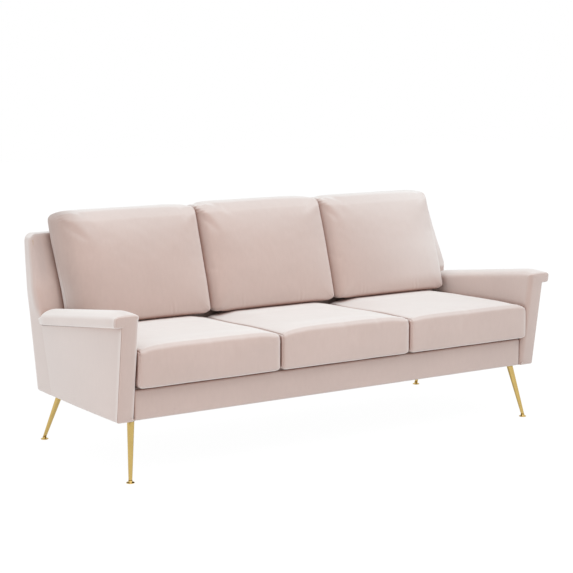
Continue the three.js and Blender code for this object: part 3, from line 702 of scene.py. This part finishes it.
def seat_cushion(i, seat):
    x = (i - 1) * PITCH
    rear = back_plane(DECK_TOP, 2 * MM)
    front = FOOT_Y + SEAT_FRONT
    room = (PITCH, rear - front, SEAT_TOP - CLEAR - DECK_TOP - CLEAR)
    size = [whole - spare for whole, spare in zip(room, SEAT_SPARE)]
    middle = Vector((x, (rear + front) / 2, DECK_TOP + CLEAR + size[2] / 2))
    rest_y = REST_Y - middle.y
    at_right = seat == "right"
    bulge = BULGE if at_right else 0
    side_reach = PITCH / 2 - BESIDE

    def crown(point, half):
        u = abs(point.x / half[0])
        behind = point.y + half[1]
        out = bulge * max(0.0, point.x / half[0]) ** 6 * (1 - smooth_step(BULGE_START, BULGE_END, behind))
        t = behind / (rest_y + half[1])
        rise = FRONT_RISES[i] + (SEAT_RISE - FRONT_RISES[i]) * smooth_step(0, 0.3, t)
        raised = rise * (1 - u ** 5) * (1 - 0.8 * smooth_step(0.7, 1, t))
        dropped = SEAT_DROP * smooth_step(0.62, 1, u) * smooth_step(0.25, 0.95, t)
        return point + Vector((out, 0, (raised - dropped) * max(0.0, point.z / half[2])))

    def holds(vert, half):
        if vert.z <= -half[2] + 1e-6:
            return 0.95
        if vert.z >= half[2] - 1e-6 and vert.y > rest_y:
            return 0.9
        return 0.75 if vert.y >= half[1] - 1e-6 else 0.0

    def limit(co):
        right = side_reach + bulge * (1 - smooth_step(front + BULGE_START, front + BULGE_END, co.y))
        top = SEAT_TOP + SEAT_SWELL
        if co.y > REST_Y - 6 * MM:
            top = SEAT_TOP - CLEAR + REST_SWELL * smooth_step(REST_Y + 6 * MM, REST_Y - 16 * MM, co.y)
        return Vector((
            max(x - side_reach, min(x + right, co.x)),
            max(front - 2 * MM, min(rear, co.y)),
            max(DECK_TOP + CLEAR, min(top, co.z)),
        ))

    radii = {
        "edge": 9 * MM,
        "front": (18 * MM, 21 * MM, (38 if at_right else 19) * MM, 15 * MM),
        "side": (9 * MM, 12 * MM, 20 * MM, 18 * MM),
        "plan": (11 * MM, (20 if at_right else 18) * MM, 20 * MM, 20 * MM),
    }
    folds = []
    for side in (-1, 1):
        corner = Vector((x + side * (PITCH / 2 - 6 * MM), front + 4 * MM, SEAT_TOP - 12 * MM))
        inward = Vector((-side, 0.35, 0.1))
        folds.append(gather(corner, inward, Vector((0, 1, -0.6)), 55 * MM, 26 * MM, 11 * MM, 0.9 * MM))
    swelling = (0.18, 22 * MM)
    cushion(
        "seat", seat, Matrix.Translation(middle), size, radii, crown, holds, limit, folds,
        3.7 * i + 1, swelling,
    )


# How far each back cushion stands out in mm: left side low and high, right side low and high, and the top.
BACK_SHAPES = {
    "left": (-6, 10, 1, 0, 7),
    "centre": (0, -1, 1, -2, 11),
    "right": (0, 0, -20, -29, 5),
}
BACK_CUSHION_THICK = 119 * MM
BACK_SPARE = (5 * MM, 0, 7 * MM)  # a back cushion is cut smaller than its room by this
BACK_CROWN = 14 * MM  # its front swells by this, and its edges by less
BACK_EDGE_CROWN = 5 * MM
BACK_SWELL = 19 * MM  # room above it for its crown
CROWN_HEIGHT = -0.12  # where a back cushion is thickest, in shares of half its height from the middle
GATHER_HEIGHTS = (0.7 * MM, 1.3 * MM, 1.0 * MM)  # folds at the top left corner, for each seat


def back_cushion(i, seat):
    x = (i - 1) * PITCH
    room = (PITCH, BACK_CUSHION_THICK, CUSHION_TOP - SEAT_TOP)
    size = [whole - spare for whole, spare in zip(room, BACK_SPARE)]
    middle_z = SEAT_TOP + 0.4 * MM + size[2] / 2
    left_low, left_high, right_low, right_high, top_out = [value * MM for value in BACK_SHAPES[seat]]
    at_left = seat == "left"
    free_left = 9 * MM if at_left else 0
    side_reach = PITCH / 2 - BESIDE

    # Local Y is measured from the back panel, and the whole cushion leans with it.
    place = Matrix((
        (1, 0, 0, x),
        (0, 1, BACK_SLOPE, back_plane(middle_z, 1 * MM) - size[1] / 2),
        (0, 0, 1, middle_z),
        (0, 0, 0, 1),
    ))

    def crown(point, half):
        u = abs(point.x / half[0])
        up = point.z / half[2]
        reach = 1 - CROWN_HEIGHT if up > CROWN_HEIGHT else 1 + CROWN_HEIGHT
        rise = 1 - abs((up - CROWN_HEIGHT) / reach) ** 2.6
        front = max(0.0, -point.y / half[1])
        low, high = (right_low, right_high) if point.x > 0 else (left_low, left_high)
        out = (low + (high - low) * smooth_step(-0.7, 0.8, up)) * u ** 3
        forward = BACK_CROWN * (1 - u ** 2.8) * rise * front
        forward += BACK_EDGE_CROWN * (1 - up * up) * front
        lift = top_out * max(0.0, up) ** 3 * (1 - u ** 5)
        return point + Vector((out if point.x > 0 else -out, -forward, lift))

    def holds(vert, half):
        if vert.z <= -half[2] + 1e-6:
            return 0.8
        return 0.95 if vert.y >= half[1] - 1e-6 else 0.0

    def limit(co):
        share = smooth_step(SEAT_TOP + 60 * MM, CUSHION_TOP - 40 * MM, co.z)
        left = side_reach + left_low + (left_high - left_low) * share + free_left * share
        right = side_reach + right_low + (right_high - right_low) * share
        return Vector((
            max(x - left, min(x + right, co.x)),
            min(back_plane(co.z, 0.5 * MM), co.y),
            max(SEAT_TOP + 0.2 * MM, min(CUSHION_TOP + BACK_SWELL, co.z)),
        ))

    front_left = (60 * MM, 90 * MM) if at_left else (40 * MM, 84 * MM)
    radii = {
        "edge": 8 * MM,
        "front": (30 * MM, 32 * MM, 10 * MM, (34 if at_left else 14) * MM),
        "side": (24 * MM, 18 * MM, 34 * MM, 34 * MM),
        "plan": (front_left, 14 * MM, 12 * MM, (24 if at_left else 12) * MM),
    }
    top_left = Vector((
        x - PITCH / 2 + 10 * MM,
        back_plane(CUSHION_TOP - 22 * MM, 100 * MM),
        CUSHION_TOP - 20 * MM,
    ))
    along, across = Vector((1, 0, -0.25)), Vector((0, 0.5, 1))
    folds = [gather(top_left, along, across, 48 * MM, 34 * MM, 13 * MM, GATHER_HEIGHTS[i])]
    for share in (0.24, 0.71):
        low = Vector((x + (share - 0.5) * PITCH, back_plane(SEAT_TOP, 135 * MM), SEAT_TOP + 12 * MM))
        along, across = Vector((0, 0.2, 1)), Vector((1, 0, 0))
        folds.append(gather(low, along, across, 75 * MM, 22 * MM, 19 * MM, 0.6 * MM))
    low = Vector((x + PITCH / 2 - 20 * MM, back_plane(SEAT_TOP, 118 * MM), SEAT_TOP + 14 * MM))
    along, across = Vector((-1, 0, 1)), Vector((1, 0, 1))
    folds.append(gather(low, along, across, 40 * MM, 24 * MM, 10 * MM, 1.1 * MM))
    swelling = (0.5, 24 * MM)
    cushion(
        "back", seat, place, size, radii, crown, holds, limit, folds,
        5.3 * i + 2, swelling, Vector((22 * MM, 0, 0)),
    )


for seat_number, seat_name in enumerate(SEATS):
    seat_cushion(seat_number, seat_name)
for seat_number, seat_name in enumerate(SEATS):
    back_cushion(seat_number, seat_name)


# Arms

ARM_LENGTH = ARM_DEPTH + ARM_LEAN  # along the armrest, level
WALL = 300 * MM  # stands for the whole wall under the armrest in a profile's depths
SEAM = 2.6 * MM  # from the rounded front edge of a panel back to its seam
FIRST_ROW = 29 * MM  # the even rows of an arm start this far behind its front
EVEN_STEPS = 53
TUCKED_ROWS = (3 * MM, 6 * MM, 9 * MM, 12 * MM)  # rows behind the back panel's front
ARM_CROWN = 20 * MM  # filling of the armrest, full from FILLED_FROM behind its front
FILLED_FROM = 75 * MM
TAIL = 55 * MM  # its rear stretch, which falls off at the outer corner by TAIL_DROP
TAIL_DROP = 12 * MM
TURN_WIDTH = 20 * MM  # outer part of the wall that turns out to the rear
CRISP_ANGLE = 42  # degrees

# Each side of an arm's outline: radius of its front edge, and depth of its seam, in mm
ARM_SIDES = {
    "inner": (19, 0),
    "top": (6, 0),
    "lip": (5, 1.0),
    "under": (4, 2.2),
    "wall": (3, 3.0),
    "foot": (4, 1.2),
}


def arm_point(x, depth, t):
    """A place on an arm's side view, from its front edge at t 0 to the back panel at t 1.

    depth is measured down from the armrest's top; under the armrest it counts shares of the wall.
    """
    slope = (1 - t) * FRONT_SLOPE + t * BACK_SLOPE
    foot_y = t * ARM_DEPTH
    reach = ARM_HEIGHT - min(depth, LIP) - UNDERSIDE - ARM_SLOPE * (foot_y + ARM_LEAN)
    rise = reach / (1 + ARM_SLOPE * slope)
    if depth > LIP:
        rise *= 1 - (depth - LIP) / WALL
    return Vector((x, FOOT_Y + foot_y + slope * rise, UNDERSIDE + rise))


def rounded_outline(corners, spacing):
    """A closed outline with rounded corners: each is (x, y, radius, label) and labels the side after it."""
    count = len(corners)
    arcs = []
    for i, (x, y, radius, _) in enumerate(corners):
        corner = Vector((x, y))
        before = (Vector(corners[i - 1][:2]) - corner).normalized() * radius
        after = (Vector(corners[(i + 1) % count][:2]) - corner).normalized() * radius
        steps = [j / 6 for j in range(7)]
        arcs.append([corner + before * (1 - t) ** 2 + after * t * t for t in steps])
    points = []
    labels = []
    for i, arc in enumerate(arcs):
        points += arc
        labels += [corners[i - 1][3]] * 3 + [corners[i][3]] * 4
        gap = arcs[(i + 1) % count][0] - arc[-1]
        steps = max(1, round(gap.length / spacing))
        points += [arc[-1] + gap * (j / steps) for j in range(1, steps)]
        labels += [corners[i][3]] * (steps - 1)
    return points, labels


def outward(points):
    """Outward directions of a closed outline."""
    count = len(points)
    runs = [(points[(i + 1) % count] - points[i - 1]).normalized() for i in range(count)]
    turn = sum(points[i - 1].cross(points[i]) for i in range(count))
    sign = 1 if turn > 0 else -1
    return [Vector((run.y, -run.x)) * sign for run in runs]


def blended(values, reach):
    """A ring of values, each averaged with its neighbours."""
    count = len(values)
    near = range(-reach, reach + 1)
    return [sum(values[(i + j) % count] for j in near) / len(near) for i in range(count)]


def tube_faces(count, rings):
    """Faces of a closed tube, from rings with a count of points each."""
    faces = [list(range(count))[::-1], [(rings - 1) * count + j for j in range(count)]]
    for r in range(rings - 1):
        for j in range(count):
            a, b = r * count + j, r * count + (j + 1) % count
            faces.append([a, b, b + count, a + count])
    return faces


def arm_rows():
    """Rows of an arm from its front face to the back panel.

    Each row has its distance behind the front, as a share of the edge's radius and a length, and how
    far it is drawn in, as shares of that radius and of the seam's depth.
    """
    angles = [math.pi / 2 * i / 5 for i in range(6)]
    rows = [(1 - math.cos(angle), 0.0, 1 - math.sin(angle), 0.0) for angle in angles]
    for offset in (-2.4, -1.7, -1.0, -0.5, 0, 0.5, 1.0, 1.7, 2.6, 4.0):
        pinch = bell(offset, 0, 1.15) - 0.3 * bell(abs(offset), 2.6, 0.8)
        rows.append((1.0, SEAM + offset * MM, 0.0, pinch))
    lengths = [FIRST_ROW + (ARM_LENGTH - FIRST_ROW) * i / EVEN_STEPS for i in range(EVEN_STEPS + 1)]
    lengths += [ARM_LENGTH + reach for reach in TUCKED_ROWS]
    return rows + [(0.0, length, 0.0, 0.0) for length in lengths]


def arm_surface(at, distance, is_right):
    """The place of an outline's point at a distance behind the front, with the cloth's filling."""
    t = distance / ARM_LENGTH
    across = (at.x - ARM_INNER) / (LIP_OUTER - ARM_INNER)
    run = 1 - (1 - min(1.0, distance / FILLED_FROM)) ** 2.2
    tail = smooth_step(ARM_LENGTH - TAIL, ARM_LENGTH + TUCKED_ROWS[-1], distance)
    place = arm_point(at.x, max(0.0, at.y), t)
    if at.y < 0:
        place.z -= at.y

    # The armrest is filled: crowned across and along, and falls off at its outer rear corner.
    topness = 1 - smooth_step(0, 22 * MM, at.y)
    crown = ARM_CROWN * run * (1 - 0.45 * tail) * (1 - abs(2 * min(1, max(0, across)) - 1) ** 2.2)
    place.z += crown * topness
    if at.y < LIP + 1e-4:
        outer = smooth_step(0.3, 1.0, across)
        place.z -= TAIL_DROP * tail ** 2 * outer * topness
        place.x -= 7 * MM * tail ** 2 * outer
        belly = max(0, 1 - abs(2 * at.y / LIP - 1))
        place.x += 2.5 * MM * run * (1 - tail) * belly * smooth_step(0.7, 1.0, across)
        if is_right:  # stands out a little more toward its front
            place.x += 3 * MM * smooth_step(0.6, 1.0, across) * (1 - smooth_step(0.1, 0.5, t))

    if at.y > LIP - 1e-4 and ARM_OUTER - TURN_WIDTH < at.x < ARM_OUTER + 1e-4:
        # The wall's outer face turns out to meet the back panel flush.
        share = (at.x - (ARM_OUTER - TURN_WIDTH)) / TURN_WIDTH
        past = max(0.0, distance - ARM_LENGTH - TUCKED_ROWS[0]) / (TUCKED_ROWS[-1] - TUCKED_ROWS[0])
        turned_out = min(1.0, t) * (2 - min(1.0, t))
        place.x += (ARM_REAR - 0.05 * MM - ARM_OUTER) * turned_out * share - 0.3 * MM * past
    elif at.x < ARM_INNER + 6 * MM and at.y > 30 * MM:
        # The inner face is a little uneven near its top.
        down = min(1.0, (at.y - 30 * MM) / (0.45 * WALL))
        place.x += 1.2 * MM * noise.noise(Vector((place.y * 9, place.z * 9, 1.0))) * run * (1 - down)
    return place


def arm(side_name, side):
    low = LIP + WALL
    inner = ARM_INNER + 0.4 * MM
    corners = [
        (inner, low, 6 * MM, "inner"),
        (inner, 0, 17 * MM, "top"),
        (LIP_OUTER, 0, 15 * MM, "lip"),
        (LIP_OUTER, LIP, 10 * MM, "under"),
        (ARM_OUTER, LIP, 2.5 * MM, "wall"),
        (ARM_OUTER, low, 6 * MM, "foot"),
    ]
    points, labels = rounded_outline(corners, 9 * MM)
    outs = outward(points)
    edges = blended([ARM_SIDES[label][0] * MM for label in labels], 2)
    grooves = blended([ARM_SIDES[label][1] * MM for label in labels], 1)
    rows = arm_rows()
    verts = []
    for edge_share, length, drawn_in, pinch in rows:
        for point, out, edge, groove in zip(points, outs, edges, grooves):
            at = point - out * (edge * drawn_in + groove * pinch)
            place = arm_surface(at, edge * edge_share + length, side > 0)
            verts.append(Vector((side * place.x, place.y, place.z)))
    faces = tube_faces(len(points), len(rows))
    name = "arm_skin_" + side_name
    skin = piece(name, verts, faces, "velvet", "sofa_frame", ("arm_cover_" + side_name,))
    turn_out(skin, CRISP_ANGLE)


arm("left", -1)
arm("right", 1)


# Back panel and front rail

PANEL_EDGE = 9 * MM  # radius
PANEL_FRONT_RADII = (24 * MM, 9 * MM, 0, 0)  # front edges above the arms, left and right
PANEL_TOP_RADII = (0, 0, 27 * MM, 27 * MM)
RAIL_EDGE = 7.5 * MM
RIM_ROWS = 4  # in the rounding of an edge


def back_half(z, depth, side):
    """Half the back panel's width at a height, from its front at depth 0 to its rear at depth 1."""
    share = max(0.0, (z - BACK_TAPER_START) / (BACK_TOP - BACK_TAPER_START))
    half = BACK_HALF_LOW - (BACK_HALF_LOW - BACK_HALF_HIGH) * share ** 1.2
    half += 6 * MM * bell(z, 595 * MM, 50 * MM) * (1 - depth)
    if side > 0:
        half += 8 * MM * bell(z, 558 * MM, 26 * MM) * (1 - depth)
    beside_arm = 1 - smooth_step(ARM_JOIN_LOW, ARM_JOIN_HIGH + 10 * MM, z)
    return half - (BACK_HALF_LOW - ARM_REAR) * beside_arm * (1 - depth)


def tight_share(z):
    """1 where the back panel's front edges lie against the arms, 0 above them."""
    return 1 - smooth_step(ARM_JOIN_LOW, ARM_JOIN_HIGH, z)


def back_panel():
    half = (BACK_HALF_LOW, BACK_THICK / 2, (BACK_TOP - UNDERSIDE) / 2)
    steps = (14 * MM, 9 * MM, 12 * MM)
    lines = [box_lines(2 * h, step, PANEL_EDGE, RIM_ROWS) for h, step in zip(half, steps)]
    verts, faces, index, ends = box_grid(lines)
    shaped = []
    for vert in verts:
        point = round_edges(vert, half, PANEL_EDGE)
        tight = tight_share(UNDERSIDE + half[2] + point.z)

        # Beside the arms the front edges are tight, so that panel and arm read as one side.
        if vert.y < 0 and abs(vert.x) > half[0] - PANEL_EDGE:
            point = point.lerp(Vector((vert.x, vert.y, point.z)), tight)
        rounder = round_corners(point, half, (0, 1), PANEL_FRONT_RADII)
        point = point.lerp(rounder, 1 - tight)
        point = round_corners(point, half, (0, 2), PANEL_TOP_RADII)
        u, w = point.x / half[0], point.z / half[2]
        depth = point.y / half[1]
        z = UNDERSIDE + half[2] + point.z
        thick = BACK_FOOT_THICK + (BACK_THICK - BACK_FOOT_THICK) * (w + 1) / 2
        swell = 3.0 * MM * (1 - abs(u) ** 8) * (1 - abs(w) ** 4) * depth
        tucked = 0.15 * MM * tight_share(z) * max(0.0, 1 - (depth + 1) * half[1] / (6 * MM))
        x = point.x * (back_half(z, (depth + 1) / 2, point.x) - tucked) / half[0]
        set_back = BACK_TOP_SET * smooth_step(BACK_TAPER_START, BACK_TOP, z)
        filled = 6 * MM * smooth_step(0.85, 1, w)
        shaped.append(Vector((x, back_plane(z) + set_back + thick * (depth + 1) / 2 + swell, z + filled)))

    # A seam runs round the rear edge: up one side, across the top and down the other side.
    loop = [(0, ends[1], k) for k in range(ends[2] + 1)]
    loop += [(i, ends[1], ends[2]) for i in range(1, ends[0] + 1)]
    loop += [(ends[0], ends[1], k) for k in range(ends[2] - 1, -1, -1)]
    seam = dense([shaped[index[key]] for key in loop], 1.5 * MM)
    shaped = press_seams(shaped, vertex_normals(shaped, faces), seam, 1.3 * MM, 1.5 * MM)
    moved = []
    for point in shaped:
        wave = 0.8 * MM * noise.noise(Vector((point.x * 5, point.z * 5, 3.0)))
        moved.append(point + Vector((0, -wave, 0)))
    turn_out(piece("back_skin", moved, faces, "velvet", "sofa_frame", ("back_cover",)), CRISP_ANGLE)


def front_rail():
    half = (ARM_INNER - 0.4 * MM, 8 * MM, (RAIL_TOP - UNDERSIDE) / 2)
    steps = (14 * MM, 6 * MM, 9 * MM)
    lines = [box_lines(2 * h, step, RAIL_EDGE, RIM_ROWS) for h, step in zip(half, steps)]
    verts, faces, _, _ = box_grid(lines)
    middle = Vector((0, FOOT_Y + RAIL_FRONT + half[1], (UNDERSIDE + RAIL_TOP) / 2))
    shaped = []
    for vert in verts:
        point = round_edges(vert, half, RAIL_EDGE)
        u, w = point.x / half[0], point.z / half[2]
        if point.y < 0:
            point.y -= 2.0 * MM * (1 - abs(u) ** 30) * (1 - abs(w) ** 4)
            point.y -= 0.7 * MM * noise.noise(Vector((point.x * 6, point.z * 6, 9.0)))
        shaped.append(middle + point)
    turn_out(piece("rail_skin", shaped, faces, "velvet", "sofa_frame", ("front_rail_cover",)))


back_panel()
front_rail()


# Legs

LEG_TOP = 213.4 * MM
LEG_SPLAY = 32 * MM  # a leg's top is this far inward of its foot
LEG_RUNS = {"front": 54 * MM, "rear": -100 * MM}  # and this far to the rear of it
LEG_FOOT = 9.3 * MM  # its lower end
LEG_RADIUS_LOW = 6.7 * MM
LEG_RADIUS_HIGH = 13.2 * MM
LEG_ROWS = 24
ROUND_SEGMENTS = 40

# Foot disc, from the floor up: height and radius in mm
DISC_PROFILE = [
    (0.0, 13.6), (0.5, 14.7), (1.4, 15.0), (2.3, 14.8), (2.9, 14.0), (3.4, 12.4),
    (4.1, 10.6), (5.1, 9.0), (6.3, 8.0), (7.6, 7.5), (9.0, 7.35),
]


def turned(name, rings, nodes):
    """A closed metal form round an axis: each ring is (centre, radius), cut level."""
    angles = [2 * math.pi * i / ROUND_SEGMENTS for i in range(ROUND_SEGMENTS)]
    verts = []
    for centre, radius in rings:
        verts += [centre + Vector((radius * math.cos(a), radius * math.sin(a), 0)) for a in angles]
    faces = tube_faces(ROUND_SEGMENTS, len(rings))
    turn_out(piece(name, verts, faces, "satin_gold", "sofa_frame", nodes))


def leg(name, run):
    low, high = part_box("foot_" + name)
    base = (Vector(low) + Vector(high)) / 2
    base.z = 0
    side = math.copysign(1, base.x)
    foot = base + Vector((0, 0, LEG_FOOT))
    top = Vector((base.x - side * LEG_SPLAY, base.y + run, LEG_TOP))
    rings = []
    for i in range(LEG_ROWS + 1):
        t = i / LEG_ROWS
        rings.append((foot.lerp(top, t), LEG_RADIUS_LOW + (LEG_RADIUS_HIGH - LEG_RADIUS_LOW) * t))
    turned("leg_tube_" + name, rings, ("leg_" + name,))
    rings = [(base + Vector((0, 0, height * MM)), radius * MM) for height, radius in DISC_PROFILE]
    turned("foot_disc_" + name, rings, ("foot_" + name,))


for leg_end, leg_run in LEG_RUNS.items():
    for leg_side in ("left", "right"):
        leg(leg_end + "_" + leg_side, leg_run)


# Studio

FLOOR_HALF = 14  # metres
FLOOR_LEVEL = -0.4 * MM


def backdrop(tree, output_kind, lit, white, direct, mirrored):
    """Shows white, in these shares, to the camera and in reflections, and what is lit to all other rays."""
    path = node(tree, "ShaderNodeLightPath").outputs
    seen = combined(tree, path["Is Camera Ray"], path["Is Transmission Ray"], "MAXIMUM")
    glossy = combined(tree, path["Is Glossy Ray"], mirrored)
    share = combined(tree, combined(tree, seen, direct), glossy, "MAXIMUM")
    blend = node(tree, "ShaderNodeMixShader", {"Fac": share, 1: lit.outputs[0], 2: white.outputs[0]})
    node(tree, output_kind, {"Surface": blend.outputs[0]})


def studio_floor():
    """A floor that looks white, with the object's shadow kept faint."""
    material = bpy.data.materials.new("studio_floor")
    material.use_nodes = True
    tree = material.node_tree
    tree.nodes.clear()
    lit = node(tree, "ShaderNodeBsdfDiffuse", {"Color": (0.86, 0.86, 0.86, 1)})
    white = node(tree, "ShaderNodeEmission", {"Color": WHITE, "Strength": 1.06})
    backdrop(tree, "ShaderNodeOutputMaterial", lit, white, 0.92, 0.4)
    mesh = bpy.data.meshes.new("studio_floor")
    signs = ((-1, -1), (1, -1), (1, 1), (-1, 1))
    mesh.from_pydata([(x * FLOOR_HALF, y * FLOOR_HALF, FLOOR_LEVEL) for x, y in signs], [], [(0, 1, 2, 3)])
    mesh.materials.append(material)
    floor = bpy.data.objects.new("studio_floor", mesh)
    scene.collection.objects.link(floor)


def studio_world():
    world = bpy.data.worlds.new("studio")
    scene.world = world
    world.use_nodes = True
    tree = world.node_tree
    tree.nodes.clear()
    lit = node(tree, "ShaderNodeBackground", {"Color": WHITE, "Strength": 0.69})
    white = node(tree, "ShaderNodeBackground", {"Color": WHITE, "Strength": 1.0})
    backdrop(tree, "ShaderNodeOutputWorld", lit, white, 1.0, 0.45)


def area_lamp(name, place, target, size, energy, mirrored=True):
    """A lamp turned toward a target. Sizes in metres, energy in watts."""
    data = bpy.data.lights.new(name, "AREA")
    data.shape = "RECTANGLE"
    data.size, data.size_y = size
    data.energy = energy
    lamp = bpy.data.objects.new(name, data)
    lamp.visible_glossy = mirrored
    lamp.location = place
    lamp.rotation_euler = (Vector(target) - Vector(place)).to_track_quat("-Z", "Y").to_euler()
    scene.collection.objects.link(lamp)


studio_floor()
studio_world()
area_lamp("overhead", (-0.4, -1.7, 3.3), (0, 0, 0.4), (4.0, 2.6), 47)
area_lamp("left", (-3.2, -0.6, 0.55), (-0.95, 0, 0.4), (1.6, 0.8), 9, False)
area_lamp("front", (-0.8, -4.2, 0.35), (0, -0.4, 0.28), (3.4, 0.5), 16, False)
scene.view_settings.view_transform = "Standard"
